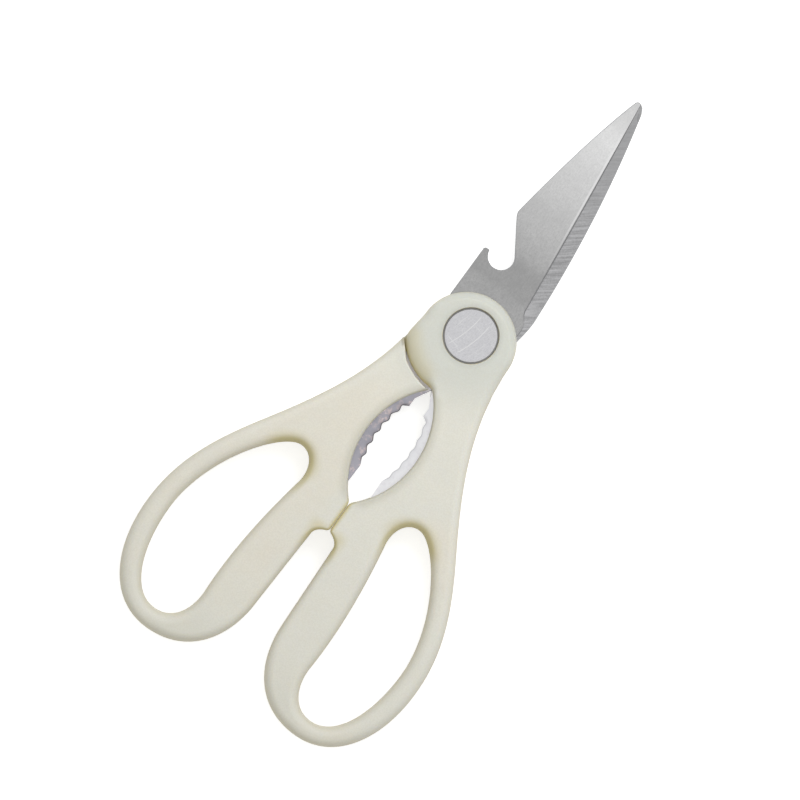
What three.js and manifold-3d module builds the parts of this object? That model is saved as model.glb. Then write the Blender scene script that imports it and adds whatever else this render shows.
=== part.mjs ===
// Kitchen shears lying closed on their back: two stamped steel blades with moulded handles on one rivet.
// Millimetres. The pivot axis is Z, the blades point along +Y, and the back face lies on z = 0.
import * as THREE from 'three';
import { mergeVertices } from 'three/addons/utils/BufferGeometryUtils.js';
import Module from 'manifold-3d';

// Overall sizes, measured from the pivot
const BLADE_REACH = 84.6;
const GRIP_REACH = 125;
const GRIP_HALF_SPAN = 48.6;
const THICKNESS = 10.6;

// Layers of the pivot
const PLATE = 2.2;
const WASHER_THICKNESS = 0.3;
const FIT_GAP = 0.25;

// Rivet, its set washer and the washer between the blades
const SHANK_RADIUS = 3;
const HEAD_RADIUS = 7.6;
const HEAD_PROUD = 0.3;
const HEAD_CHAMFER = 0.4;
const SET_FLARE = 0.9;
const SET_DEPTH = 1;
const WASHER_RADIUS = 8.6;

// Boss round the rivet head, and the shoulder where it clears the other handle
const BORE_GAP = 0.75;
const BOSS_RADIUS = 14.8;
const BOSS_TOP = 12.6;
const SHOULDER_RADIUS = 19.3;
const SHOULDER_ANGLE = 35.5;
const SHOULDER_GAP = 1.1;

// Handle outline: neck flank, finger loop, grip bar and closing stop
const FLANK_INSET = 13.9;
const FLANK_Y = 55;
const FLANK_SLOPE = 32;
const NECK_LEAN = 0.8;
const BOW_RISE = 30.5;
const END_X = 26.7;
const BAR_LOW_X = 4.95;
const BAR_LOW_RISE = 25;
const BAR_LEAN = 0.2;
const BAR_TOP_X = 3.95;
const STOP_TOP = 60.6;
const STOP_LENGTH = 10;
const STOP_GAP = 0.3;
const STOP_ROUND = 3.9;

// Rounded edges of the moulding: how far they reach in and down, and where they have to be smaller
const EDGE_ROUND = 2.4;
const EDGE_RISE = 3.4;
const CLOSING_ROUND = 0.9;
const SHARP_TURN = 25;
const CORNER_SHARE = 0.7;
const WALL_SHARE = 0.42;

// Finger hole, from the walls round it
const BOW_WALL = 6.6;
const END_WALL = 5.8;
const BAR_WALL = 14.2;
const BAR_TOP_WALL = 11.95;
const HOLE_LEFT_DROP = 10;
const HOLE_TOP_SHARE = 0.2926;
const HOLE_BOW_LIFT = 2;
const HOLE_END_SHIFT = 1.8;
const HOLE_BAR_DROP = 7;
const HOLE_LOW_LEAN = 0.8;
const HOLE_HIGH_LEAN = 2.6;
const HOLE_CORNER_LEAN = 1.2;

// How far each curve keeps its first and its last direction, as shares of its own height or width
const NECK_PULLS = [0.36, 0.416];
const FLANK_PULLS = [0.43, 0.354];
const BOW_PULLS = [0.557, 0.639];
const END_PULLS = [0.62, 0.58];
const HOLE_TOP_PULLS = [0.306, 0.48];
const HOLE_BOW_PULLS = [0.524, 0.63];
const HOLE_END_PULLS = [0.674, 0.533];
const HOLE_BAR_PULLS = [0.31, 0.333];
const HOLE_CORNER_PULLS = [0.5, 0.82];

// Nut jaw between the handles: plastic opening, then the toothed edge of each tang
const LENS_HALF_WIDTH = 8.7;
const JAW_DEPTH = 6;
const JAW_RADIUS = 34;
const JAW_MIDDLE = 39;
const JAW_TOP = 28.2;
const TOOTH_PITCH = 3.9;
const TOOTH_COUNT = 5;
const TOOTH_HEIGHT = 0.75;
const JAW_NOSE_X = 2.5;
const JAW_NOSE_DROP = 4;
const JAW_NOSE_GAP = 1;
const JAW_FOOT_X = 4.1;
const JAW_FOOT_LEAN = 0.2;
const JAW_FOOT_RISE = 5.8;

// Tang inside the handle, with the holes that the moulding fills
const PLATE_SIDE_X = 11.5;
const TANG_SHOULDER_X = 13;
const TANG_BELLY_X = 19.5;
const TANG_TAPER = 2;
const TANG_TAIL = 18.3;
const TANG_END_X = 8;
const TANG_END_RADIUS = 3.6;
const TANG_PULLS = [0.4, 0.327];
const ANCHOR_RADIUS = 2.2;
const UPPER_ANCHOR_SHARE = 0.5;
const UPPER_ANCHOR_RISE = 3;
const LOWER_ANCHOR_SHIFT = 1.3;
const LOWER_ANCHOR_RISE = 6.4;
const PIVOT_PLATE_TURN = 75;

// Front blade: straight heel, bottle-opener notch, spine and cutting edge
const HEEL_X = 12.1;
const HOOK_TOP = 23.7;
const HOOK_CHAMFER = 0.5;
const HOOK_WIDTH = 1.7;
const NOTCH_RISE = 0.4;
const NOTCH_RADIUS = 3.95;
const NOTCH_EXIT = 36;
const SPINE_START_X = 10.15;
const SPINE_START_Y = 38.6;
const SPINE_LIP = [0.75, -2.8];
const SPINE_CORNER = [-0.35, -1.2];
const SPINE_BELLY = [-5.9, -17.6];
const TIP_SPINE = [-1.1, -0.9];
const TIP_CROWN = [-0.4, 0.5];
const TIP_END = [1.5, -0.9];
const EDGE_TIP = [2.4, -2.6];
const EDGE_BELLY_INSET = 2.1;
const BELLY_SHARE = 0.58;
const EDGE_HEEL_X = 12.75;
const EDGE_HEEL_Y = 14;
const EDGE_HEEL_PULLS = [0.36, 0.43];
const GRIND_TIP = [0.3, 0.4];
const GRIND_BELLY_X = 4.7;
const GRIND_HEEL_X = 8.4;
const GRIND_HEEL_Y = 15.2;
const GRIND_TAIL_WIDTH = 1.8;
const GRIND_TAIL_DROP = 1.6;
const EDGE_LAND = 0.3;

// Back blade: narrower, so that the notch stays open when the shears are closed
const BACK_SPINE_X = 11.8;
const BACK_SPINE_INSET = 2;
const BACK_TIP_SPINE = [-1.4, -2.4];
const BACK_TIP_CROWN = [-0.4, -0.4];
const BACK_TIP_END = [0.3, -0.8];
const BACK_EDGE_TIP = [0.7, -1.6];
const BACK_EDGE_X = 1.9;
const BACK_EDGE_Y = 17;
const BACK_HEEL_PULLS = [0.3, 0.7];
const BACK_GRIND_TIP = [-0.6, 0.4];
const BACK_GRIND_WIDTH = 3;
const BACK_GRIND_RISE = 1.5;

// Facets
const CURVE_STEPS = 9;
const ROUND_STEPS = 3;
const TURN_STEPS = 48;
const GRIND_STEPS = 10;
const TOOTH_STEPS = 6;
const SAME_POINT = 0.001;
const WEDGE_REACH = [-0.2, 1.5];

const HALF = THICKNESS / 2;
const INNER_FACE = WASHER_THICKNESS / 2 + FIT_GAP;
const OUTER_FACE = INNER_FACE + PLATE;
const SEAT = OUTER_FACE + FIT_GAP;
const NECK_RADIUS = SHOULDER_RADIUS + SHOULDER_GAP;
const FLANK_X = GRIP_HALF_SPAN - FLANK_INSET;
const STOP_X = STOP_GAP / 2;
const STOP_END = STOP_TOP + STOP_LENGTH;
const JAW_LOW = JAW_TOP + TOOTH_PITCH * TOOTH_COUNT;
const TANG_END_Y = TANG_END_RADIUS - JAW_LOW - TANG_TAIL;
const JAW_FOOT_Y = TANG_END_Y + JAW_FOOT_RISE;
const ANCHORS = [
  [JAW_DEPTH + UPPER_ANCHOR_SHARE * (TANG_BELLY_X - JAW_DEPTH), UPPER_ANCHOR_RISE - JAW_MIDDLE],
  [TANG_END_X + LOWER_ANCHOR_SHIFT, TANG_END_Y + LOWER_ANCHOR_RISE],
];
const BELLY_Y = BLADE_REACH * BELLY_SHARE;
const OVERRUN = 2;

const wasm = await Module();
wasm.setup();

function point(x, y) {
  return new THREE.Vector2(x, y);
}

function polar(radius, degrees) {
  const angle = THREE.MathUtils.degToRad(degrees);
  return point(radius * Math.cos(angle), radius * Math.sin(angle));
}

// A closed mesh as a solid that can be joined and cut
function solidOf(geometry) {
  const bare = geometry.clone();
  bare.deleteAttribute('normal');
  bare.deleteAttribute('uv');
  const merged = mergeVertices(bare, SAME_POINT / 10);
  const corners = [];
  const index = merged.index.array;
  for (let i = 0; i < index.length; i += 3) {
    const [a, b, c] = [index[i], index[i + 1], index[i + 2]];
    if (a !== b && b !== c && c !== a) corners.push(a, b, c);
  }
  const vertProperties = new Float32Array(merged.attributes.position.array);
  const triVerts = new Uint32Array(corners);
  return new wasm.Manifold(new wasm.Mesh({ numProp: 3, vertProperties, triVerts }));
}

function geometryOf(solid) {
  const mesh = solid.getMesh();
  const geometry = new THREE.BufferGeometry();
  geometry.setAttribute('position', new THREE.BufferAttribute(mesh.vertProperties, 3));
  geometry.setIndex(new THREE.BufferAttribute(mesh.triVerts, 1));
  return geometry;
}

// Corners without the double points where two curves meet, running the way round that is asked for
function distinct(corners, clockwise) {
  const kept = corners.filter(
    (corner, i) => corner.distanceTo(corners[(i + 1) % corners.length]) > SAME_POINT,
  );
  return THREE.ShapeUtils.isClockWise(kept) === clockwise ? kept : kept.reverse();
}

// The outline as straight facets, with its holes running the other way round
function faceted(shape) {
  const { shape: outer, holes } = shape.extractPoints(CURVE_STEPS);
  const facets = new THREE.Shape(distinct(outer, false));
  facets.holes = holes.map((corners) => new THREE.Path(distinct(corners, true)));
  return facets;
}

function extruded(shape, low, high) {
  const options = { depth: high - low, bevelEnabled: false };
  return solidOf(new THREE.ExtrudeGeometry(faceted(shape), options).translate(0, 0, low));
}

function sideNormal(from, to) {
  const along = to.clone().sub(from).normalize();
  return point(-along.y, along.x);
}

// The two sides' normals at each corner of an outline, pointing into the material
function cornerNormals(corners) {
  const count = corners.length;
  return corners.map((corner, i) => [
    sideNormal(corners[(i + count - 1) % count], corner),
    sideNormal(corner, corners[(i + 1) % count]),
  ]);
}

function nearest(corner, others) {
  return Math.min(...others.map((other) => corner.distanceTo(other)));
}

function onClosingSide(corner) {
  const beside = corner.x < LENS_HALF_WIDTH + SAME_POINT;
  return beside && corner.y < -SHOULDER_RADIUS && corner.y > -STOP_END - SAME_POINT;
}

// How far the rounding reaches in at each corner: less towards sharp corners and in thin walls
function roundings(corners, across) {
  const turn = Math.sin(THREE.MathUtils.degToRad(SHARP_TURN));
  const normals = cornerNormals(corners);
  const sharp = corners.filter((corner, i) => normals[i][0].cross(normals[i][1]) > turn);
  return corners.map((corner) => Math.min(
    onClosingSide(corner) ? CLOSING_ROUND : EDGE_ROUND,
    CORNER_SHARE * nearest(corner, sharp) + SAME_POINT,
    WALL_SHARE * nearest(corner, across),
  ));
}

function inset(corners, depths, share) {
  return cornerNormals(corners).map(([before, after], i) => {
    const depth = share * depths[i] / (1 + before.dot(after));
    return before.clone().add(after).multiplyScalar(depth).add(corners[i]);
  });
}

// Rounded edge from a flat face out to the side, as [share of the rounding, height above the face]
function edgeSteps() {
  const steps = [];
  for (let i = 0; i <= ROUND_STEPS; i += 1) {
    const turn = i / ROUND_STEPS * Math.PI / 2;
    steps.push([1 - Math.sin(turn), EDGE_RISE * (1 - Math.cos(turn))]);
  }
  return steps;
}

// A plate with one hole whose upper and lower edges are rounded inside the outline
function moulded(shape, low, high) {
  const facets = faceted(shape);
  const outer = facets.getPoints();
  const hole = facets.holes[0].getPoints();
  const outerRound = roundings(outer, hole);
  const holeRound = roundings(hole, outer);
  const steps = edgeSteps();
  const levels = steps.map(([share, rise]) => [share, low + rise]);
  levels.push(...steps.map(([share, rise]) => [share, high - rise]).reverse());
  const positions = [];
  for (const [share, z] of levels) {
    const corners = [...inset(outer, outerRound, share), ...inset(hole, holeRound, share)];
    for (const corner of corners) positions.push(corner.x, corner.y, z);
  }
  const count = outer.length + hole.length;
  const next = (i) => (i === outer.length - 1 ? 0 : i === count - 1 ? outer.length : i + 1);
  const index = [];
  for (let base = 0; base < count * (levels.length - 1); base += count) {
    for (let i = 0; i < count; i += 1) {
      const [a, b] = [base + i, base + next(i)];
      index.push(a, b, b + count, a, b + count, a + count);
    }
  }
  const face = THREE.ShapeUtils.triangulateShape(
    inset(outer, outerRound, 1), [inset(hole, holeRound, 1)],
  );
  const top = count * (levels.length - 1);
  for (const [a, b, c] of face) index.push(c, b, a, top + a, top + b, top + c);
  const geometry = new THREE.BufferGeometry();
  geometry.setAttribute('position', new THREE.Float32BufferAttribute(positions, 3));
  geometry.setIndex(index);
  return solidOf(geometry);
}

// A closed profile of [radius, z] corners, listed upwards on the outside, turned about the pivot axis
function turned(profile) {
  const corners = profile.map(([radius, z]) => point(radius, z));
  const geometry = new THREE.LatheGeometry([...corners, corners[0].clone()], TURN_STEPS);
  return solidOf(geometry.rotateX(Math.PI / 2));
}

function ring(inner, outer, low, high) {
  return turned([[inner, low], [outer, low], [outer, high], [inner, high]]);
}

function disc(radius, low, high) {
  return turned([[0, low], [radius, low], [radius, high], [0, high]]);
}

function circle(x, y, radius) {
  return new THREE.Path().absarc(x, y, radius, 0, 2 * Math.PI, true);
}

// Round end of the boss, clockwise from its left side over the top to its right side
function bossTop(path) {
  path.absarc(0, BOSS_TOP - BOSS_RADIUS, BOSS_RADIUS, Math.PI, 0, true);
}

// Outside of the handle from the boss down the neck, round the loop and up the grip bar to the stop
function gripSide(path) {
  const bossY = BOSS_TOP - BOSS_RADIUS;
  const along = polar(1, FLANK_SLOPE - 90);
  const flank = point(FLANK_X, -FLANK_Y);
  const bowY = BOW_RISE - GRIP_REACH;
  const barY = BAR_LOW_RISE - GRIP_REACH;
  const right = GRIP_HALF_SPAN;
  const neck = bossY - flank.y;
  const arrive = flank.clone().addScaledVector(along, -NECK_PULLS[1] * neck);
  path.bezierCurveTo(
    BOSS_RADIUS + NECK_LEAN, bossY - NECK_PULLS[0] * neck, arrive.x, arrive.y, flank.x, flank.y,
  );
  const drop = flank.y - bowY;
  const leave = flank.clone().addScaledVector(along, FLANK_PULLS[0] * drop);
  path.bezierCurveTo(leave.x, leave.y, right, bowY + FLANK_PULLS[1] * drop, right, bowY);
  path.bezierCurveTo(
    right, bowY - BOW_PULLS[0] * BOW_RISE,
    END_X + BOW_PULLS[1] * (right - END_X), -GRIP_REACH,
    END_X, -GRIP_REACH,
  );
  path.bezierCurveTo(
    END_X - END_PULLS[0] * (END_X - BAR_LOW_X), -GRIP_REACH,
    BAR_LOW_X + BAR_LEAN, barY - END_PULLS[1] * BAR_LOW_RISE,
    BAR_LOW_X, barY,
  );
  path.lineTo(BAR_TOP_X, -STOP_END - STOP_ROUND);
  path.quadraticCurveTo(BAR_TOP_X, -STOP_END - STOP_ROUND / 3, STOP_X, -STOP_END);
  path.lineTo(STOP_X, -STOP_TOP);
}

// Plastic side of the nut opening: one arc from the stop up to the shoulder
function lensSide(path) {
  const half = (STOP_TOP - SHOULDER_RADIUS) / 2;
  const rise = LENS_HALF_WIDTH - STOP_X;
  const radius = (half * half + rise * rise) / (2 * rise);
  const reach = Math.asin(half / radius);
  path.absarc(LENS_HALF_WIDTH - radius, half - STOP_TOP, radius, -reach, reach, false);
}

function shoulderSide(path) {
  const start = -Math.PI / 2 + Math.asin(STOP_X / SHOULDER_RADIUS);
  const end = -Math.PI + THREE.MathUtils.degToRad(SHOULDER_ANGLE);
  path.absarc(0, 0, SHOULDER_RADIUS, start, end, true);
}

function fingerHole() {
  const high = -FLANK_Y;
  const right = GRIP_HALF_SPAN - BOW_WALL;
  const rightY = BOW_RISE + HOLE_BOW_LIFT - GRIP_REACH;
  const low = END_WALL - GRIP_REACH;
  const lowX = END_X + HOLE_END_SHIFT;
  const left = BAR_LOW_X + BAR_WALL;
  const leftY = BAR_LOW_RISE - HOLE_BAR_DROP - GRIP_REACH;
  const cornerX = BAR_TOP_X + BAR_TOP_WALL;
  const cornerY = high - HOLE_LEFT_DROP;
  const highX = cornerX + HOLE_TOP_SHARE * (FLANK_X - cornerX);
  const hole = new THREE.Path();
  hole.moveTo(highX, high);
  hole.bezierCurveTo(
    highX + HOLE_TOP_PULLS[0] * (right - highX), high,
    right, rightY + HOLE_TOP_PULLS[1] * (high - rightY),
    right, rightY,
  );
  hole.bezierCurveTo(
    right, rightY - HOLE_BOW_PULLS[0] * (rightY - low),
    lowX + HOLE_BOW_PULLS[1] * (right - lowX), low,
    lowX, low,
  );
  hole.bezierCurveTo(
    lowX - HOLE_END_PULLS[0] * (lowX - left), low,
    left, leftY - HOLE_END_PULLS[1] * (leftY - low),
    left, leftY,
  );
  hole.bezierCurveTo(
    left + HOLE_LOW_LEAN, leftY + HOLE_BAR_PULLS[0] * (cornerY - leftY),
    cornerX + HOLE_HIGH_LEAN, cornerY - HOLE_BAR_PULLS[1] * (cornerY - leftY),
    cornerX, cornerY,
  );
  hole.bezierCurveTo(
    cornerX - HOLE_CORNER_LEAN, cornerY + HOLE_CORNER_PULLS[0] * HOLE_LEFT_DROP,
    highX - HOLE_CORNER_PULLS[1] * (highX - cornerX), high,
    highX, high,
  );
  return hole;
}

function handleShape() {
  const shape = new THREE.Shape();
  shape.moveTo(-BOSS_RADIUS, BOSS_TOP - BOSS_RADIUS);
  bossTop(shape);
  gripSide(shape);
  lensSide(shape);
  shoulderSide(shape);
  shape.closePath();
  shape.holes.push(fingerHole());
  return shape;
}

// Hidden outline of the tang, from beside the pivot down to its rounded end and up to the jaw
function tangSide(path, grow) {
  const shoulderY = OVERRUN - NECK_RADIUS;
  const round = TANG_END_RADIUS + grow;
  const length = shoulderY - TANG_END_Y;
  path.lineTo(PLATE_SIDE_X + grow, 0);
  path.lineTo(TANG_SHOULDER_X + grow, shoulderY);
  path.bezierCurveTo(
    TANG_BELLY_X + grow, shoulderY - TANG_PULLS[0] * length,
    TANG_BELLY_X - TANG_TAPER + grow, TANG_END_Y + TANG_PULLS[1] * length,
    TANG_END_X + round, TANG_END_Y,
  );
  path.absarc(TANG_END_X, TANG_END_Y, round, 0, -Math.PI, true);
}

// Space for the tang in the moulding; plastic keys are left where they fill the anchor holes
function tangPocket() {
  const shape = new THREE.Shape();
  shape.moveTo(STOP_X, 0);
  tangSide(shape, FIT_GAP);
  shape.lineTo(JAW_FOOT_X - FIT_GAP, JAW_FOOT_Y);
  shape.lineTo(STOP_X, JAW_FOOT_Y + 2 * OVERRUN);
  shape.closePath();
  for (const [x, y] of ANCHORS) shape.holes.push(circle(x, y, ANCHOR_RADIUS - FIT_GAP));
  return extruded(shape, INNER_FACE - FIT_GAP, SEAT);
}

// One handle moulding: boss over its own blade, full thickness in the neck and loop
function handleSolid() {
  const below = -HALF - OVERRUN;
  return moulded(handleShape(), -HALF, HALF)
    .subtract(disc(NECK_RADIUS, below, SEAT))
    .subtract(disc(HEAD_RADIUS + BORE_GAP, below, HALF + OVERRUN))
    .subtract(tangPocket());
}

// Toothed edge of a tang, from the foot of the jaw up to its nose
function jawSide(path) {
  const steps = TOOTH_COUNT * TOOTH_STEPS;
  path.lineTo(JAW_FOOT_X, JAW_FOOT_Y);
  path.lineTo(JAW_FOOT_X - JAW_FOOT_LEAN, -JAW_LOW - TOOTH_PITCH / 2);
  for (let i = 0; i <= steps; i += 1) {
    const turn = i / steps * TOOTH_COUNT;
    const drop = JAW_LOW - turn * TOOTH_PITCH - JAW_MIDDLE;
    const arc = JAW_DEPTH - JAW_RADIUS + Math.sqrt(JAW_RADIUS ** 2 - drop ** 2);
    path.lineTo(arc - TOOTH_HEIGHT / 2 * (1 - Math.cos(2 * Math.PI * turn)), -JAW_MIDDLE - drop);
  }
  path.lineTo(JAW_NOSE_X, JAW_NOSE_GAP - JAW_TOP);
  path.lineTo(JAW_NOSE_X, -NECK_RADIUS - JAW_NOSE_DROP);
  path.lineTo(STOP_X, -NECK_RADIUS + SHOULDER_GAP / 2);
}

// The plate round the pivot, from the jaw's nose to the left side
function pivotSide(path) {
  const turn = THREE.MathUtils.degToRad(PIVOT_PLATE_TURN);
  path.absarc(0, 0, HEEL_X, turn - Math.PI, -Math.PI, true);
}

// A place given from the tip of the closed blades
function fromTip([x, y]) {
  return point(x, BLADE_REACH + y);
}

// Cutting edge and ground line of a blade, both from tip to heel
function frontEdge() {
  return new THREE.QuadraticBezierCurve(
    fromTip(EDGE_TIP), point(EDGE_HEEL_X - EDGE_BELLY_INSET, BELLY_Y), point(EDGE_HEEL_X, EDGE_HEEL_Y),
  );
}

function frontGrind() {
  return new THREE.QuadraticBezierCurve(
    fromTip(GRIND_TIP), point(GRIND_BELLY_X, BELLY_Y), point(GRIND_HEEL_X, GRIND_HEEL_Y),
  );
}

function backEdge() {
  return new THREE.QuadraticBezierCurve(
    fromTip(BACK_EDGE_TIP), point(BACK_EDGE_X, BELLY_Y), point(BACK_EDGE_X, BACK_EDGE_Y),
  );
}

function backGrind() {
  const x = BACK_EDGE_X - BACK_GRIND_WIDTH;
  return new THREE.QuadraticBezierCurve(
    fromTip(BACK_GRIND_TIP), point(x, BELLY_Y), point(x, BACK_EDGE_Y + BACK_GRIND_RISE),
  );
}

// Follows a curve with the path's own steps, so that every blade edge has the same facets
function follow(path, curve) {
  for (const corner of curve.getPoints(GRIND_STEPS)) path.lineTo(corner.x, corner.y);
}

function bend(path, towards, to) {
  path.quadraticCurveTo(towards.x, towards.y, to.x, to.y);
}

function pierce(shape) {
  shape.holes.push(circle(0, 0, SHANK_RADIUS + FIT_GAP));
  for (const [x, y] of ANCHORS) shape.holes.push(circle(x, y, ANCHOR_RADIUS));
  return shape;
}

// Heel with its hook, then the notch that lifts a bottle cap, then the shoulder of the spine
function notchSide(path) {
  const exit = THREE.MathUtils.degToRad(NOTCH_EXIT);
  const entry = Math.PI + Math.asin(NOTCH_RISE / NOTCH_RADIUS);
  const notchX = HOOK_WIDTH + NOTCH_RADIUS - HEEL_X;
  const spine = point(-SPINE_START_X, SPINE_START_Y);
  path.lineTo(-HEEL_X, HOOK_TOP - HOOK_CHAMFER);
  path.lineTo(HOOK_CHAMFER - HEEL_X, HOOK_TOP);
  path.absarc(notchX, HOOK_TOP + NOTCH_RISE, NOTCH_RADIUS, entry, exit + 2 * Math.PI, false);
  path.lineTo(spine.x + SPINE_LIP[0], spine.y + SPINE_LIP[1]);
  path.quadraticCurveTo(spine.x + SPINE_CORNER[0], spine.y + SPINE_CORNER[1], spine.x, spine.y);
}

function frontBladeShape() {
  const shape = new THREE.Shape();
  shape.moveTo(-HEEL_X, 0);
  notchSide(shape);
  bend(shape, fromTip(SPINE_BELLY), fromTip(TIP_SPINE));
  bend(shape, fromTip(TIP_CROWN), fromTip(TIP_END));
  follow(shape, frontEdge());
  shape.bezierCurveTo(
    EDGE_HEEL_X, EDGE_HEEL_Y * (1 - EDGE_HEEL_PULLS[0]),
    PLATE_SIDE_X, EDGE_HEEL_Y * EDGE_HEEL_PULLS[1],
    PLATE_SIDE_X, 0,
  );
  tangSide(shape, 0);
  jawSide(shape);
  pivotSide(shape);
  shape.closePath();
  return pierce(shape);
}

function backBladeShape() {
  const shape = new THREE.Shape();
  shape.moveTo(-HEEL_X, 0);
  shape.bezierCurveTo(
    -HEEL_X, EDGE_HEEL_Y * EDGE_HEEL_PULLS[0],
    -BACK_SPINE_X, EDGE_HEEL_Y * EDGE_HEEL_PULLS[1],
    -BACK_SPINE_X, EDGE_HEEL_Y,
  );
  bend(shape, point(BACK_SPINE_INSET - BACK_SPINE_X, BELLY_Y), fromTip(BACK_TIP_SPINE));
  bend(shape, fromTip(BACK_TIP_CROWN), fromTip(BACK_TIP_END));
  follow(shape, backEdge());
  shape.bezierCurveTo(
    BACK_EDGE_X, BACK_EDGE_Y * (1 - BACK_HEEL_PULLS[0]),
    PLATE_SIDE_X, BACK_EDGE_Y * BACK_HEEL_PULLS[1],
    PLATE_SIDE_X, 0,
  );
  tangSide(shape, 0);
  jawSide(shape);
  pivotSide(shape);
  shape.closePath();
  return pierce(shape);
}

// Wedge that the grinding takes off: at each step it lies above the slope from ground line to edge
function grindWedge(grindLine, edgeLine) {
  const drop = PLATE - EDGE_LAND;
  const corners = [];
  grindLine.forEach((from, i) => {
    const across = edgeLine[i].clone().sub(from);
    const near = from.clone().addScaledVector(across, WEDGE_REACH[0]);
    const far = from.clone().addScaledVector(across, WEDGE_REACH[1]);
    corners.push(near.x, near.y, OUTER_FACE - WEDGE_REACH[0] * drop);
    corners.push(far.x, far.y, OUTER_FACE - WEDGE_REACH[1] * drop);
    corners.push(far.x, far.y, OUTER_FACE + OVERRUN);
  });
  const faces = [0, 2, 1];
  const last = corners.length - 9;
  for (let i = 0; i < last; i += 9) {
    const row = i / 3;
    for (let k = 0; k < 3; k += 1) {
      const [a, b] = [row + k, row + (k + 1) % 3];
      faces.push(a, b, a + 3, b, b + 3, a + 3);
    }
  }
  faces.push(last / 3, last / 3 + 1, last / 3 + 2);
  const geometry = new THREE.BufferGeometry();
  geometry.setAttribute('position', new THREE.Float32BufferAttribute(corners, 3));
  geometry.setIndex(faces);
  return solidOf(geometry);
}

// Steps along a blade edge, with one more past the tip so that the grinding runs off it
function grindSteps(curve) {
  const steps = curve.getPoints(GRIND_STEPS);
  return [point(steps[0].x, steps[0].y + OVERRUN), ...steps];
}

// The front grinding narrows at the heel and runs on under the boss
function frontBladeSolid() {
  const edge = grindSteps(frontEdge());
  const grind = grindSteps(frontGrind());
  for (const y of [EDGE_HEEL_Y - GRIND_TAIL_DROP, 0]) {
    edge.push(point(EDGE_HEEL_X, y));
    grind.push(point(EDGE_HEEL_X - GRIND_TAIL_WIDTH, y));
  }
  return extruded(frontBladeShape(), INNER_FACE, OUTER_FACE).subtract(grindWedge(grind, edge));
}

function backBladeSolid() {
  const wedge = grindWedge(grindSteps(backGrind()), grindSteps(backEdge()));
  return extruded(backBladeShape(), INNER_FACE, OUTER_FACE).subtract(wedge);
}

// Front head and shank in one piece; the shank's end is spread into the set washer's countersink
function rivetSolid() {
  const top = HALF + HEAD_PROUD;
  return turned([
    [0, -HALF],
    [SHANK_RADIUS + SET_FLARE, -HALF],
    [SHANK_RADIUS, -HALF + SET_DEPTH],
    [SHANK_RADIUS, SEAT],
    [HEAD_RADIUS, SEAT],
    [HEAD_RADIUS, top - HEAD_CHAMFER],
    [HEAD_RADIUS - HEAD_CHAMFER, top],
    [0, top],
  ]);
}

function setWasherSolid() {
  const bore = SHANK_RADIUS + FIT_GAP;
  return turned([
    [bore + SET_FLARE, -HALF],
    [HEAD_RADIUS - HEAD_CHAMFER, -HALF],
    [HEAD_RADIUS, -HALF + HEAD_CHAMFER],
    [HEAD_RADIUS, -SEAT],
    [bore, -SEAT],
    [bore, -HALF + SET_DEPTH],
  ]);
}

function bladeWasherSolid() {
  return ring(SHANK_RADIUS + FIT_GAP, WASHER_RADIUS, -WASHER_THICKNESS / 2, WASHER_THICKNESS / 2);
}

const steel = { color: '#b9babd', roughness: 0.32, metalness: 1 };
const ivory = { color: '#d9d7cc', roughness: 0.45, metalness: 0 };
const nylon = { color: '#e9e8e2', roughness: 0.5, metalness: 0 };

function piece(name, solid, finish) {
  const mesh = new THREE.Mesh(geometryOf(solid), new THREE.MeshStandardMaterial(finish));
  mesh.name = name;
  return mesh;
}

// The back half is the front half's arrangement turned over about the long axis
const frontHalf = new THREE.Group();
frontHalf.add(piece('front_blade', frontBladeSolid(), steel));
frontHalf.add(piece('front_handle', handleSolid(), ivory));

const backHalf = new THREE.Group();
backHalf.rotation.y = Math.PI;
backHalf.add(piece('back_blade', backBladeSolid(), steel));
backHalf.add(piece('back_handle', handleSolid(), ivory));

const pivot = new THREE.Group();
pivot.add(piece('pivot_rivet', rivetSolid(), steel));
pivot.add(piece('rivet_set_washer', setWasherSolid(), steel));
pivot.add(piece('blade_washer', bladeWasherSolid(), nylon));

const shears = new THREE.Group();
shears.position.z = HALF;
shears.add(frontHalf, backHalf, pivot);

export default shears;
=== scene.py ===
import math

import bmesh
import bpy
import numpy as np
from mathutils import Matrix, Vector


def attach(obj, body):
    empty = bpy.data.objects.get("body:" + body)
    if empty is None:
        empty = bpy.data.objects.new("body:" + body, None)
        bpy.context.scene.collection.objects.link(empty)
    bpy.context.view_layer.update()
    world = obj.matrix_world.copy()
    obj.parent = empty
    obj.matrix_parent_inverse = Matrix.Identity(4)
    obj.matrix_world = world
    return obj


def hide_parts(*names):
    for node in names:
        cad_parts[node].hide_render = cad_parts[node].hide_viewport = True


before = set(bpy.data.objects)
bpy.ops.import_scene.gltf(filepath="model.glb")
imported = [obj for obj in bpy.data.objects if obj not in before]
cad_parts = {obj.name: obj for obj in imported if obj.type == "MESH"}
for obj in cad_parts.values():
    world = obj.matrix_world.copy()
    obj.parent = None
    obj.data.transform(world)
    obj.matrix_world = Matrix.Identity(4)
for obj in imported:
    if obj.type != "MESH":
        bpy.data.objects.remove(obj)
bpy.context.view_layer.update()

# Sizes in millimetres, in the frame of the CAD: pivot axis at x = y = 0, blades along +Y, back on z = 0.
# Each half is built about the middle of the thickness as the front half lies. The back half is turned over.

MM = 0.001
THICKNESS = 10.6
HALF = THICKNESS / 2
INNER_FACE = 0.4
OUTER_FACE = 2.6
SEAT = 2.85
FIT_GAP = 0.25

# Pivot end of a handle, with angles in degrees
BOSS_RADIUS = 14.8
BOSS_Y = -2.2
SHOULDER_RADIUS = 19.35
SHOULDER_END = -144.5
NECK_RADIUS = 20.15
NECK_FILLET = 0.4
NECK_NARROWING = 0.6
NARROWING_START = 304
NARROWING_SPAN = 8
BORE_RADIUS = 8.25
BORE_FILLET = 0.35

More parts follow.
